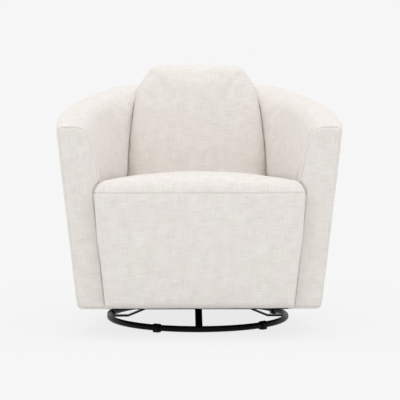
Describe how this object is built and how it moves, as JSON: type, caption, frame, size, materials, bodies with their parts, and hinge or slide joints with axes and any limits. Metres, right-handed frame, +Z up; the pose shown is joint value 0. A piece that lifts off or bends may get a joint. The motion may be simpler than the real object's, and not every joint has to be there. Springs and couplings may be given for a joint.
{
  "type": "swivel accent chair",
  "caption": "Upholstered tub armchair with a tall back cushion that turns freely on a black steel ring base.",
  "frame": {"origin": "on the floor, on the swivel axis, which is the middle of the chair's plan", "axes": "+Z up along the swivel axis, -Y the way the sitter faces, +X to the right in the front view"},
  "size_m": [0.8586, 0.82, 0.7996],
  "materials": {
    "cream_linen": "matte",
    "black_steel": "gloss",
    "black_plastic": "satin",
    "zinc_steel": "satin",
    "bearing_steel": "polished",
    "white_plastic": "matte",
    "plywood": "matte",
    "timber": "matte",
    "webbing": "matte",
    "dust_cloth": "matte"
  },
  "bodies": {
    "base": {"base_ring": "black_steel", "ring_feet": "black_plastic", "base_spokes": "black_steel", "lower_plate": "black_steel", "king_pin": "zinc_steel", "pin_washer": "zinc_steel", "pin_nut": "zinc_steel"},
    "roller_ring": {"roller_cage": "white_plastic", "bearing_rollers": "bearing_steel"},
    "chair": {"upper_plate": "black_steel", "plate_bolts": "zinc_steel", "bolt_nuts": "zinc_steel", "base_board": "plywood", "dust_cover": "dust_cloth", "seat_front_panel": "plywood", "seat_back_panel": "plywood", "left_seat_panel": "plywood", "right_seat_panel": "plywood", "glue_blocks": "timber", "seat_webbing": "webbing", "back_webbing": "webbing", "left_back_post": "timber", "right_back_post": "timber", "left_front_post": "timber", "right_front_post": "timber", "left_rear_post": "timber", "right_rear_post": "timber", "rim_board": "plywood", "left_arm": "cream_linen", "right_arm": "cream_linen", "outer_back": "cream_linen", "seat_cushion": "cream_linen", "seat_front": "cream_linen", "back_cushion": "cream_linen"}
  },
  "joints": [
    {"name": "swivel", "type": "hinge", "parent": "base", "child": "chair", "pos_m": [0, 0, 0.0805], "axis": [0, 0, 1], "continuous": true},
    {"name": "roller_turn", "type": "hinge", "parent": "base", "child": "roller_ring", "pos_m": [0, 0, 0.0805], "axis": [0, 0, 1], "continuous": true}
  ],
  "couplings": [
    {"joint": "roller_turn", "follows": "swivel", "ratio": 0.5}
  ]
}
